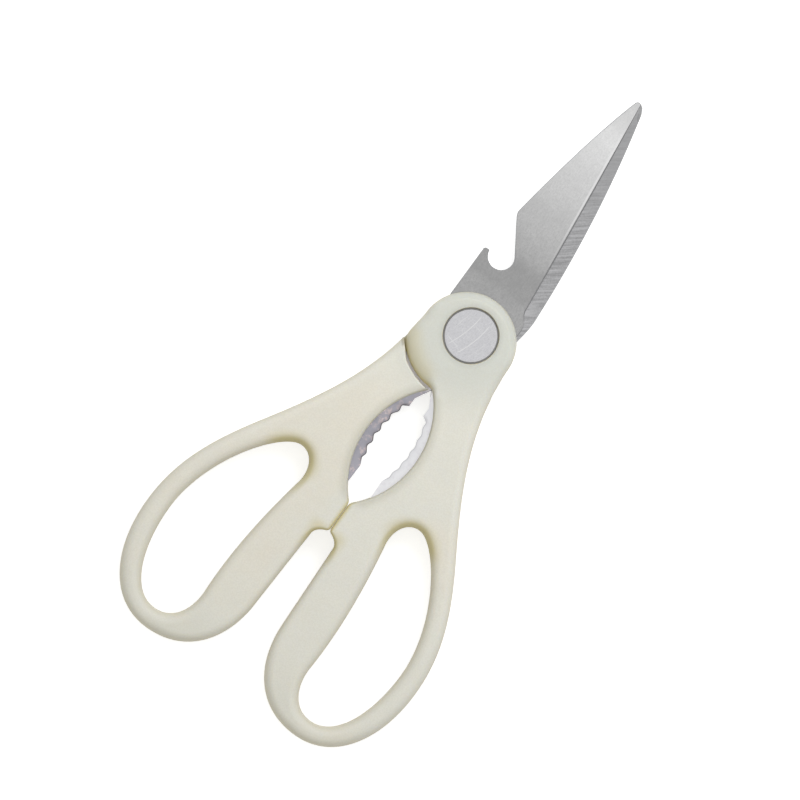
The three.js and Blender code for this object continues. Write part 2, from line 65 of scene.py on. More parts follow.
# Closing stop, and the lens-shaped opening between the handles
STOP_X = 0.06
STOP_TOP = -60.6
STOP_END = -70.6
LENS_HALF_WIDTH = 8.7
LENS_HALF_LENGTH = (-SHOULDER_RADIUS - STOP_TOP) / 2
LENS_RISE = LENS_HALF_WIDTH - STOP_X
LENS_RADIUS = (LENS_HALF_LENGTH ** 2 + LENS_RISE ** 2) / (2 * LENS_RISE)
LENS_CENTRE = (LENS_HALF_WIDTH - LENS_RADIUS, STOP_TOP + LENS_HALF_LENGTH)

# Finger loop of a handle
FLANK = np.array([34.7, -55.0])
FLANK_ANGLE = math.radians(-58)
FLANK_ALONG = np.array([math.cos(FLANK_ANGLE), math.sin(FLANK_ANGLE)])
LOOP_SIDE = (48.6, -94.5)
LOOP_END = (26.7, -125)
GRIP_FOOT = (4.95, -100)
GRIP_HOOK = (3.95, -74.5)
HOLE_TOP = (21.4, -55)
HOLE_SIDE = (42, -92.5)
HOLE_END = (28.5, -119.2)
HOLE_FOOT = (19.15, -107)
HOLE_INNER = (15.9, -65)

# Rounding of a handle's edges: its rise for each depth, what it leaves flat, and how softly it changes
ROUNDING_DEPTHS = (0, 3.0, 3.8)
ROUNDING_RISES = (0, 3.75, 2.45)
ROUNDING_SPREAD = 2.2
FLAT_LEFT = 0.45
FLAT_RIM = 0.12

# Rivet and washers; a dish is given by its depth at some radii
HEAD_RADIUS = 7.7
HEAD_TOP = HALF + 0.3
HEAD_ROUND = 0.08
HEAD_DISH = ((HEAD_RADIUS - 0.5, 0), (HEAD_RADIUS / 2, 0.01), (0, 0.012))
SHANK_RADIUS = 3.0
SPREAD_WIDTH = 0.9
SPREAD_DEPTH = 1.0
SPREAD_DISH = ((0, 0.12), (2.2, 0.1), (3.3, 0.02))
SET_WASHER_ROUND = 0.4
WASHER_RADIUS = 8.6
WASHER_HALF = 0.15
SHANK_HOLE = SHANK_RADIUS + FIT_GAP

# Pivot plate and tang of a blade
HEEL_X = 12.1
HEEL_ARC_START = -105
HEEL_CORNER = (-3.13, -11.69)
PLATE_SIDE_X = 11.5
TANG_SIDE = ((PLATE_SIDE_X, 0), (13, -18.4), (19.5, -36), (17.5, -48), (11.6, -62.4))
TANG_END = (8, -62.4)
TANG_END_RADIUS = 3.6
TANG_INNER = (4.4, -62.4)
ANCHORS = ((12.75, -36.0), (9.3, -56.0))
ANCHOR_RADIUS = 2.2
POCKET_CORNER = (STOP_X, -52.6)

# Nut jaw: its teeth are cut along a hollow arc, and a slope behind them fades out at both ends
JAW_MIDDLE = -39.0
JAW_RADIUS = 34.0
JAW_REACH = 6.0
JAW_FOOT = -47.7
JAW_NOSE = -28.2
JAW_STEPS = 160
TOOTH_PITCH = 3.9
FRONT_TOOTH_DEPTH = 0.4
BACK_TOOTH_DEPTH = 0.75
FOOT_BEND = (4.1, -56.6)
FOOT_TOP = (3.9, -49.65)
NOSE_LOW = (2.5, -27.2)
NOSE_HIGH = (2.5, -24.4)
NECK_CORNER = (STOP_X, -19.85)
JAW_DROP = 0.8
JAW_SLOPE_BACK = 0.8
JAW_SLOPE_LOW = -59
JAW_SLOPE_HIGH = -19.6
JAW_SLOPE_FADE = 7
JAW_SLOPE_LEAST = 0.01
JAW_SLOPE_STEPS = 80

# Cutting edges and the ground slopes beside them
EDGE_LAND = 0.3
HEEL_RUN_OUT = 15.5
GRIND_REACH = 1.5
GRIND_STEP_SHARE = 0.09
GRIND_STEP_SLOPE = 1.8
GRIND_STEP_LIMIT = 0.5
EDGE_BREAK = 0.16
KEEN_EDGE = 0.02

# Opener notch and the ends of the blades' curves
OPENER_TOP = (-HEEL_X, 23.2)
OPENER_LIP = (-11.6, 23.7)
NOTCH = (-6.45, 24.1)
NOTCH_RADIUS = 3.95
NOTCH_ARC_END = 396
NOTCH_TOP = (-9.4, 35.8)
FRONT_SPINE_START = (-10.15, 38.6)
FRONT_SPINE_END = (-1.1, 83.7)
FRONT_TIP = (1.5, 83.7)
FRONT_EDGE_START = (2.4, 82)
FRONT_EDGE_END = (12.75, 14)
FRONT_GRIND_END = (8.4, 15.2)
BACK_SPINE_START = (-11.8, 14)
BACK_SPINE_END = (-1.4, 82.2)
BACK_TIP = (0.3, 83.8)
BACK_EDGE_START = (0.7, 83)
BACK_EDGE_END = (1.9, 17)

# Fineness of the meshes, how far a cutting tool runs past a piece, and the angles in degrees above which
# edges stay crisp
OUTLINE_STEP = 0.5
EDGE_RINGS = 10
TURN_STEPS = 128
WELD = 0.01
SAME_PLACE = 1e-6
CLEAR = 2
HANDLE_CREASE = 40
BLADE_CREASE = 14
TURNED_CREASE = 30


# Curves in the plane of the blades

def cubic(start, first, second, end, count=60):
    t = np.linspace(0, 1, count)[:, None]
    start, first, second, end = (np.array(p, float) for p in (start, first, second, end))
    return (1 - t) ** 3 * start + 3 * (1 - t) ** 2 * t * first + 3 * (1 - t) * t ** 2 * second + t ** 3 * end


def bend(start, towards, end, count=40):
    t = np.linspace(0, 1, count)[:, None]
    start, towards, end = (np.array(p, float) for p in (start, towards, end))
    return (1 - t) ** 2 * start + 2 * (1 - t) * t * towards + t ** 2 * end


def line(start, end):
    return np.array([start, end], float)


def arc(x, y, radius, first, last, count=80):
    angles = np.radians(np.linspace(first, last, count))
    return np.stack([x + radius * np.cos(angles), y + radius * np.sin(angles)], axis=1)


def lengths_along(points):
    return np.concatenate([[0], np.cumsum(np.linalg.norm(np.diff(points, axis=0), axis=1))])


def part_of(points, low, high):
    """The stretch of a polyline between two lengths along it."""
    along = lengths_along(points)
    inside = points[(along > low + SAME_PLACE) & (along < high - SAME_PLACE)]
    ends = [np.array([np.interp(s, along, points[:, k]) for k in (0, 1)]) for s in (low, high)]
    return np.vstack([ends[0], inside, ends[1]])


def evenly(points, step):
    """A polyline with its points set at even lengths, about one step apart."""
    along = lengths_along(points)
    count = max(2, int(math.ceil(along[-1] / step)) + 1)
    spots = np.linspace(0, along[-1], count)
    return np.stack([np.interp(spots, along, points[:, k]) for k in (0, 1)], axis=1)


def joined(stretches, step):
    """One loop of evenly set points from stretches that follow each other."""
    points = np.vstack([evenly(stretch, step) for stretch in stretches])
    gaps = np.linalg.norm(np.roll(points, -1, axis=0) - points, axis=1)
    return points[gaps > WELD]


def closed_outline(stretches):
    """Joins stretches of (points, depth of rounding, trim) into one loop, and gives the depth at each point.
    The trim is the length cut off on both sides of a stretch's first corner to round that corner."""
    count = len(stretches)
    pieces = []
    for i, (points, _, trim) in enumerate(stretches):
        next_trim = stretches[(i + 1) % count][2]
        pieces.append(part_of(points, trim, lengths_along(points)[-1] - next_trim))
    loop, depths = [], []
    for i, (points, depth, trim) in enumerate(stretches):
        if trim:
            corner = bend(pieces[i - 1][-1], points[0], pieces[i][0])
            loop.append(evenly(corner, OUTLINE_STEP / 2)[:-1])
            depths.append(np.full(len(loop[-1]), min(depth, stretches[i - 1][1])))
        loop.append(evenly(pieces[i], OUTLINE_STEP)[:-1])
        depths.append(np.full(len(loop[-1]), depth))
    return np.vstack(loop), np.concatenate(depths)


def smoothed(values, points, reach):
    """Values along a closed loop, averaged over a length of the loop."""
    steps = np.linalg.norm(np.roll(points, -1, axis=0) - points, axis=1)
    along = np.concatenate([[0], np.cumsum(steps)])[:-1]
    total = steps.sum()
    gap = np.abs(along[:, None] - along[None, :])
    gap = np.minimum(gap, total - gap)
    weight = np.exp(-0.5 * (gap / reach) ** 2) * steps[None, :]
    return weight @ values / weight.sum(axis=1)


def nearest(points, others):
    """How far each point lies from the nearest of the others."""
    return np.min(np.linalg.norm(points[:, None] - others[None], axis=2), axis=1)


def inward(points):
    """Unit normals that point into the material, which lies to the left of the loop."""
    along = np.roll(points, -1, axis=0) - np.roll(points, 1, axis=0)
    along /= np.linalg.norm(along, axis=1)[:, None]
    return np.stack([-along[:, 1], along[:, 0]], axis=1)


# Outlines of the mouldings and blades, as the front half lies

def lens_side():
    reach = math.degrees(math.asin(LENS_HALF_LENGTH / LENS_RADIUS))
    return arc(*LENS_CENTRE, LENS_RADIUS, -reach, reach)


def handle_outline():
    """Drawn clockwise from the left of the boss, and turned round so that the material lies to its left."""
    shoulder_start = -90 + math.degrees(math.asin(STOP_X / SHOULDER_RADIUS))
    shoulder = arc(0, 0, SHOULDER_RADIUS, shoulder_start, SHOULDER_END)
    loop, depth = closed_outline([
        (arc(0, BOSS_Y, BOSS_RADIUS, 180, 0), 2.5, 0),
        (cubic((BOSS_RADIUS, BOSS_Y), (15.6, -21.2), FLANK - 21.96 * FLANK_ALONG, FLANK), 2.8, 0),
        (cubic(FLANK, FLANK + 17 * FLANK_ALONG, (48.6, -80.5), LOOP_SIDE), 3.05, 0),
        (cubic(LOOP_SIDE, (48.6, -111.5), (40.7, -125), LOOP_END), 3.0, 0),
        (cubic(LOOP_END, (13.2, -125), (5.15, -114.5), GRIP_FOOT), 2.9, 0),
        (line(GRIP_FOOT, GRIP_HOOK), 2.6, 0),
        (bend(GRIP_HOOK, (3.95, -71.9), (STOP_X, STOP_END)), 1.3, 0),
        (line((STOP_X, STOP_END), (STOP_X, STOP_TOP)), 0.8, 1.1),
        (lens_side(), 0.9, 1.3),
        (shoulder, 3.8, 0.7),
        (line(shoulder[-1], (-BOSS_RADIUS, BOSS_Y)), 3.3, 2.6),
    ])
    return loop[::-1], depth[::-1]


def hole_outline():
    """Drawn clockwise, so that the material round the hole lies to its left."""
    return closed_outline([
        (cubic(HOLE_TOP, (27.7, -55), (42, -74.5), HOLE_SIDE), 3.05, 0),
        (cubic(HOLE_SIDE, (42, -106.5), (37, -119.2), HOLE_END), 3.0, 0),
        (cubic(HOLE_END, (22.2, -119.2), (19.15, -113.5), HOLE_FOOT), 3.0, 0),
        (cubic(HOLE_FOOT, (19.95, -94), (18.5, -79), HOLE_INNER), 3.1, 0),
        (cubic(HOLE_INNER, (14.7, -60), (16.9, -55), HOLE_TOP), 3.2, 0),
    ])


def tang_side(grow):
    """From the right of the pivot down the tang and round its end, grown outward by a little."""
    side, neck, bulge, taper, end = (np.add(point, (grow, 0)) for point in TANG_SIDE)
    return [
        line(side, neck),
        cubic(neck, bulge, taper, end),
        arc(*TANG_END, TANG_END_RADIUS + grow, 0, -180),
    ]


def jaw_hollow(y):
    """The hollow arc that the roots of the jaw's teeth lie on."""
    return JAW_REACH - JAW_RADIUS + np.sqrt(JAW_RADIUS ** 2 - (y - JAW_MIDDLE) ** 2)


def jaw_side(tooth_depth):
    """The inner side of the tang from its end up to the neck, with the teeth of the nut jaw."""
    y = np.linspace(JAW_FOOT, JAW_NOSE, JAW_STEPS)
    turn = (y - JAW_FOOT) / TOOTH_PITCH
    x = jaw_hollow(y) - tooth_depth / 2 * (1 - np.cos(2 * math.pi * turn))
    teeth = np.stack([x, y], axis=1)
    return [
        line(TANG_INNER, FOOT_BEND),
        line(FOOT_BEND, FOOT_TOP),
        line(FOOT_TOP, teeth[0]),
        teeth,
        line(teeth[-1], NOSE_LOW),
        line(NOSE_LOW, NOSE_HIGH),
        line(NOSE_HIGH, NECK_CORNER),
    ]


def tang_round(tooth_depth):
    """From the right of the pivot down round the tang and back up to the left of the pivot."""
    return [
        *tang_side(0),
        *jaw_side(tooth_depth),
        line(NECK_CORNER, HEEL_CORNER),
        arc(0, 0, HEEL_X, HEEL_ARC_START, -180),
    ]


FRONT_EDGE = bend(FRONT_EDGE_START, (10.65, 49.07), FRONT_EDGE_END, 90)
FRONT_GRIND = bend((0.3, 85), (4.7, 49.07), FRONT_GRIND_END, 90)
BACK_EDGE = bend(BACK_EDGE_START, (1.9, 49.07), BACK_EDGE_END, 60)
BACK_GRIND = bend((-0.6, 85), (-1.1, 49.07), (-1.1, 18.5), 60)
FRONT_GRIND_CURVE = np.polyfit(FRONT_GRIND[:, 1], FRONT_GRIND[:, 0], 2)


def front_blade_outline():
    notch_start = 180 + math.degrees(math.asin((NOTCH[1] - OPENER_LIP[1]) / NOTCH_RADIUS))
    notch = arc(*NOTCH, NOTCH_RADIUS, notch_start, NOTCH_ARC_END)
    stretches = [
        line((-HEEL_X, 0), OPENER_TOP),
        line(OPENER_TOP, OPENER_LIP),
        line(OPENER_LIP, notch[0]),
        notch,
        line(notch[-1], NOTCH_TOP),
        bend(NOTCH_TOP, (-10.5, 37.4), FRONT_SPINE_START),
        bend(FRONT_SPINE_START, (-5.9, 67), FRONT_SPINE_END),
        bend(FRONT_SPINE_END, (-0.4, 85.1), FRONT_TIP),
        line(FRONT_TIP, FRONT_EDGE_START),
        FRONT_EDGE,
        cubic(FRONT_EDGE_END, (12.75, 9), (PLATE_SIDE_X, 6), (PLATE_SIDE_X, 0)),
        *tang_round(FRONT_TOOTH_DEPTH),
    ]
    return joined(stretches, OUTLINE_STEP)


def back_blade_outline():
    stretches = [
        cubic((-HEEL_X, 0), (-HEEL_X, 5), (-11.8, 6), BACK_SPINE_START),
        bend(BACK_SPINE_START, (-9.8, 49.07), BACK_SPINE_END),
        bend(BACK_SPINE_END, (-0.4, 84.2), BACK_TIP),
        line(BACK_TIP, BACK_EDGE_START),
        BACK_EDGE,
        cubic(BACK_EDGE_END, (1.9, 11.9), (PLATE_SIDE_X, 11.9), (PLATE_SIDE_X, 0)),
        *tang_round(BACK_TOOTH_DEPTH),
    ]
    return joined(stretches, OUTLINE_STEP)


# Meshes, built in millimetres about the pivot's mid-plane

def object_from(bm, name):
    mesh = bpy.data.meshes.new(name)
    bmesh.ops.recalc_face_normals(bm, faces=bm.faces)
    bm.to_mesh(mesh)
    bm.free()
    obj = bpy.data.objects.new(name, mesh)
    bpy.context.scene.collection.objects.link(obj)
    return obj


def rounded_levels(depth, rise, low, high, rings):
    """Insets and heights of the rings that round a wall off at its lower and its upper edge."""
    turns = np.radians(np.linspace(0, 90, rings + 1))
    lower = [(depth * (1 - np.sin(a)), low + rise * (1 - np.cos(a))) for a in turns]
    return lower + [(inset, low + high - z) for inset, z in lower[::-1]]


def wall(bm, loop, levels):
    """Rings of corners set in from a loop, joined by faces; gives the lowest and the highest ring."""
    normals = inward(loop)
    rows = []
    for inset, z in levels:
        corners = np.column_stack([loop + normals * inset[:, None], z])
        rows.append([bm.verts.new(corner) for corner in corners])
    for low, high in zip(rows, rows[1:]):
        for i in range(len(low)):
            j = (i + 1) % len(low)
            bm.faces.new((low[i], low[j], high[j], high[i]))
    return rows[0], rows[-1]


def moulding(name):
    """One handle: a thick plate with a finger hole, whose edges are rounded by an amount that changes
    along them."""
    outer, outer_depth = handle_outline()
    hole, hole_depth = hole_outline()
    bm = bmesh.new()
    rims = []
    for loop, depth, across in ((outer, outer_depth, hole), (hole, hole_depth, outer)):
        deepest = (nearest(loop, across) - FLAT_LEFT) / 2
        depth = np.minimum(smoothed(depth, loop, ROUNDING_SPREAD), deepest)
        rise = np.interp(depth, ROUNDING_DEPTHS, ROUNDING_RISES)
        flat = np.full(len(loop), HALF)
        levels = rounded_levels(depth, rise, -HALF, HALF, EDGE_RINGS)
        rims.append(wall(bm, loop, [(depth + FLAT_RIM, -flat), *levels, (depth + FLAT_RIM, flat)]))
    for end in (0, 1):
        edges = []
        for rim in rims:
            row = rim[end]
            edges += [bm.edges.get(pair) for pair in zip(row, row[1:] + row[:1])]
        bmesh.ops.triangle_fill(bm, use_beauty=True, use_dissolve=False, edges=edges)
    return object_from(bm, name)


def turned(name, profile, swell=np.zeros(TURN_STEPS)):
    """A closed profile of (radius, z) corners turned about the pivot axis. Swell adds to the radius at each
    step of the turn."""
    bm = bmesh.new()
    turns = np.linspace(0, 2 * math.pi, TURN_STEPS, endpoint=False)
    rows = []
    for radius, z in profile:
        if radius == 0:
            rows.append([bm.verts.new((0, 0, z))] * TURN_STEPS)
        else:
            reach = radius + swell
            rows.append([bm.verts.new((r * math.cos(a), r * math.sin(a), z)) for r, a in zip(reach, turns)])
    for low, high in zip(rows, rows[1:] + rows[:1]):
        for i in range(TURN_STEPS):
            j = (i + 1) % TURN_STEPS
            corners = list(dict.fromkeys((low[i], low[j], high[j], high[i])))
            if len(corners) > 2:
                bm.faces.new(corners)
    return object_from(bm, name)


def quarter(radius, z, reach, first, last, count=6):
    """Points of a rounded corner of a profile, about the centre (radius, z)."""
    angles = np.radians(np.linspace(first, last, count))
    return [(radius + reach * math.cos(a), z + reach * math.sin(a)) for a in angles]


def drum(name, x, y, radius, low, high):
    obj = turned(name, [(0, low), (radius, low), (radius, high), (0, high)])
    obj.data.transform(Matrix.Translation((x, y, 0)))
    return obj


def plate(name, outline, low, high, keen=None):
    """A flat plate with its edges broken all round, and only a hair along the keen edge if it has one.
    The outline is drawn clockwise, and is turned round here so that the material lies to its left."""
    outline = outline[::-1]
    depth = np.full(len(outline), EDGE_BREAK)
    if keen is not None:
        depth[nearest(outline, evenly(keen, OUTLINE_STEP / 2)) < OUTLINE_STEP] = KEEN_EDGE
    bm = bmesh.new()
    for rim in wall(bm, outline, rounded_levels(depth, depth, low, high, 1)):
        bm.faces.new(rim)
    return object_from(bm, name)


def wedge(name, start, end, level, side, drops):
    """What grinding takes off a face. At each step it falls from the start line to the end line by that
    step's drop, more steeply in its first part. Side is 1 on an upper face and -1 on a lower one."""
    span = end - start
    width = np.linalg.norm(span, axis=1)
    first = np.minimum(GRIND_STEP_SHARE * width * GRIND_STEP_SLOPE, GRIND_STEP_LIMIT * drops)
    last = drops + (GRIND_REACH - 1) * (drops - first) / (1 - GRIND_STEP_SHARE)
    near = start - GRIND_STEP_SHARE / 2 * span
    step = start + GRIND_STEP_SHARE * span
    far = start + GRIND_REACH * span
    above = np.full(len(start), CLEAR)
    corners = ((near, first / 2), (step, -first), (far, -last), (far, above), (near, above))
    sections = [np.column_stack([spots, level + side * lift]) for spots, lift in corners]
    bm = bmesh.new()
    rows = [[bm.verts.new(corner) for corner in section] for section in zip(*sections)]
    for one, other in zip(rows, rows[1:]):
        for i in range(len(corners)):
            j = (i + 1) % len(corners)
            bm.faces.new((one[i], one[j], other[j], other[i]))
    bm.faces.new(rows[0])
    bm.faces.new(rows[-1])
    return object_from(bm, name)


def edge_wedge(name, grind, edge):
    """The grinding of a cutting edge, run on past the tip. Its slope stays the same where it narrows at
    the heel."""
    grind = np.vstack([grind[0] + (0, CLEAR), grind])
    edge = np.vstack([edge[0] + (0, CLEAR), edge])
    drop = OUTER_FACE - INNER_FACE - EDGE_LAND
    width = np.linalg.norm(edge - grind, axis=1)
    narrowed = drop * np.minimum(1, width / width.max())
    drops = np.where(grind[:, 1] > HEEL_RUN_OUT, drop, narrowed)
    return wedge(name, grind, edge, OUTER_FACE, 1, drops)


def jaw_wedge(name, level, side, tooth_depth):
    """The slope behind the teeth of the nut jaw, which fades out at both ends."""
    y = np.linspace(JAW_SLOPE_LOW, JAW_SLOPE_HIGH, JAW_SLOPE_STEPS)
    lens = lens_side()
    back = np.interp(y, lens[:, 1], lens[:, 0]) + JAW_SLOPE_BACK
    teeth = jaw_hollow(y) - tooth_depth
    fade = np.clip(np.minimum(y - JAW_SLOPE_LOW, JAW_SLOPE_HIGH - y) / JAW_SLOPE_FADE, 0, 1)
    fade = fade ** 2 * (3 - 2 * fade)
    start = np.stack([back, y], axis=1)
    end = np.stack([teeth, y], axis=1)
    return wedge(name, start, end, level, side, JAW_SLOPE_LEAST + JAW_DROP * fade)


def apply_modifiers(obj):
    depsgraph = bpy.context.evaluated_depsgraph_get()
    mesh = bpy.data.meshes.new_from_object(obj.evaluated_get(depsgraph))
    obj.modifiers.clear()
    old = obj.data
    obj.data = mesh
    bpy.data.meshes.remove(old)


def cut(obj, tool):
    """Takes the tool's volume off the piece and drops the tool."""
    step = obj.modifiers.new("cut", "BOOLEAN")
    step.operation = "DIFFERENCE"
    step.solver = "EXACT"
    step.object = tool
    apply_modifiers(obj)
    mesh = tool.data
    bpy.data.objects.remove(tool)
    bpy.data.meshes.remove(mesh)


def place(obj, turned_over, crease):
    """Welds what the cuts left too close together, and brings a finished piece into the frame in metres,
    with crisp edges above an angle."""
    move = Matrix.Translation((0, 0, HALF))
    if turned_over:
        move = move @ Matrix.Rotation(math.pi, 4, "Y")
    bm = bmesh.new()
    bm.from_mesh(obj.data)
    bmesh.ops.remove_doubles(bm, verts=bm.verts, dist=WELD)
    bmesh.ops.dissolve_degenerate(bm, edges=bm.edges, dist=WELD)
    bmesh.ops.triangulate(bm, faces=bm.faces, quad_method="BEAUTY", ngon_method="BEAUTY")
    bmesh.ops.dissolve_degenerate(bm, edges=bm.edges, dist=WELD)
    bm.transform(Matrix.Scale(MM, 4) @ move)
    for face in bm.faces:
        face.smooth = True
    for edge in bm.edges:
        edge.smooth = len(edge.link_faces) == 2 and edge.calc_face_angle() < math.radians(crease)
    bm.to_mesh(obj.data)
    bm.free()


# The pieces

def tang_pocket(name):
    """Space for the tang in the moulding. Plastic keys are left where they fill the anchor holes."""
    inner, foot = (np.subtract(point, (FIT_GAP, 0)) for point in (TANG_INNER, FOOT_BEND))
    stretches = [
        line((STOP_X, 0), (PLATE_SIDE_X + FIT_GAP, 0)),
        *tang_side(FIT_GAP),
        line(inner, foot),
        line(foot, POCKET_CORNER),
        line(POCKET_CORNER, (STOP_X, 0)),
    ]
    pocket = plate(name, joined(stretches, 2 * OUTLINE_STEP), INNER_FACE - FIT_GAP, SEAT)
    for x, y in ANCHORS:
        cut(pocket, drum("key", x, y, ANCHOR_RADIUS - FIT_GAP, -HALF, HALF))
    return pocket


def neck_room(name):
    """Room for the other half's shoulder to turn in, narrower on the outer side of the neck."""
    mouth = NECK_RADIUS + NECK_FILLET
    profile = [(0, -HALF - CLEAR), (mouth, -HALF - CLEAR)]
    profile += quarter(mouth, -HALF + NECK_FILLET, NECK_FILLET, 270, 180)
    profile += [(NECK_RADIUS, SEAT), (0, SEAT)]
    angles = np.linspace(0, 360, TURN_STEPS, endpoint=False)
    narrow = np.clip((angles - NARROWING_START) / NARROWING_SPAN, 0, 1)
    return turned(name, profile, -NECK_NARROWING * narrow)


def rivet_bore(name):
    mouth = BORE_RADIUS + BORE_FILLET
    profile = [(0, -HALF - CLEAR), (BORE_RADIUS, -HALF - CLEAR), (BORE_RADIUS, HALF - BORE_FILLET)]
    profile += quarter(mouth, HALF - BORE_FILLET, BORE_FILLET, 180, 90)[1:]
    profile += [(mouth, HALF + CLEAR), (0, HALF + CLEAR)]
    return turned(name, profile)


def handle(name, turned_over):
    obj = moulding(name)
    cut(obj, neck_room("neck"))
    cut(obj, rivet_bore("bore"))
    cut(obj, tang_pocket("pocket"))
    place(obj, turned_over, HANDLE_CREASE)
    return obj


def blade(name, outline, grind, edge, jaw, turned_over):
    obj = plate(name, outline, INNER_FACE, OUTER_FACE, edge)
    cut(obj, edge_wedge("grinding", grind, edge))
    cut(obj, jaw_wedge("jaw", *jaw))
    cut(obj, drum("pin", 0, 0, SHANK_HOLE, -HALF, HALF))
    for x, y in ANCHORS:
        cut(obj, drum("anchor", x, y, ANCHOR_RADIUS, -HALF, HALF))
    place(obj, turned_over, BLADE_CREASE)
    return obj


def front_blade(name):
    """The ground slope runs out round the heel and ends under the handle."""
    tail = cubic(FRONT_GRIND_END, (8.9, 13.2), (10.9, 13.0), (10.95, 9.5), 16)[1:]
    heel = bend(FRONT_EDGE_END, (12.75, 11), (12.5, 8.5), 16)[1:]
    grind = np.vstack([FRONT_GRIND, tail, [(10.6, 0)]])
    edge = np.vstack([FRONT_EDGE, heel, [(12.2, 0)]])
    return blade(name, front_blade_outline(), grind, edge, (OUTER_FACE, 1, FRONT_TOOTH_DEPTH), False)


def back_blade(name):
    jaw = (INNER_FACE, -1, BACK_TOOTH_DEPTH)
    return blade(name, back_blade_outline(), BACK_GRIND, BACK_EDGE, jaw, True)


def turned_piece(name, profile):
    obj = turned(name, profile)
    place(obj, False, TURNED_CREASE)
    return obj


def pivot_rivet(name):
    """Head with a slightly dished face and a broken rim, shank, and the spread end at the back."""
    profile = [(radius, -HALF + dish) for radius, dish in SPREAD_DISH]
    profile += [(SHANK_RADIUS + SPREAD_WIDTH, -HALF), (SHANK_RADIUS, -HALF + SPREAD_DEPTH)]
    profile += [(SHANK_RADIUS, SEAT), (HEAD_RADIUS, SEAT)]
    profile += quarter(HEAD_RADIUS - HEAD_ROUND, HEAD_TOP - HEAD_ROUND, HEAD_ROUND, 0, 85)
    profile += [(radius, HEAD_TOP - dish) for radius, dish in HEAD_DISH]
    return turned_piece(name, profile)


def set_washer(name):
    """Disc on the back with a countersunk hole that the end of the rivet is spread into."""
    face = HEAD_RADIUS - SET_WASHER_ROUND
    profile = [(SHANK_HOLE + SPREAD_WIDTH, -HALF), (face, -HALF)]
    profile += quarter(face, -HALF + SET_WASHER_ROUND, SET_WASHER_ROUND, -80, 0)
    profile += [(HEAD_RADIUS, -SEAT), (SHANK_HOLE, -SEAT), (SHANK_HOLE, -HALF + SPREAD_DEPTH)]
    return turned_piece(name, profile)


def blade_washer(name):
    low = [(SHANK_HOLE, -WASHER_HALF), (WASHER_RADIUS, -WASHER_HALF)]
    high = [(WASHER_RADIUS, WASHER_HALF), (SHANK_HOLE, WASHER_HALF)]
    return turned_piece(name, low + high)


# Tools for the materials

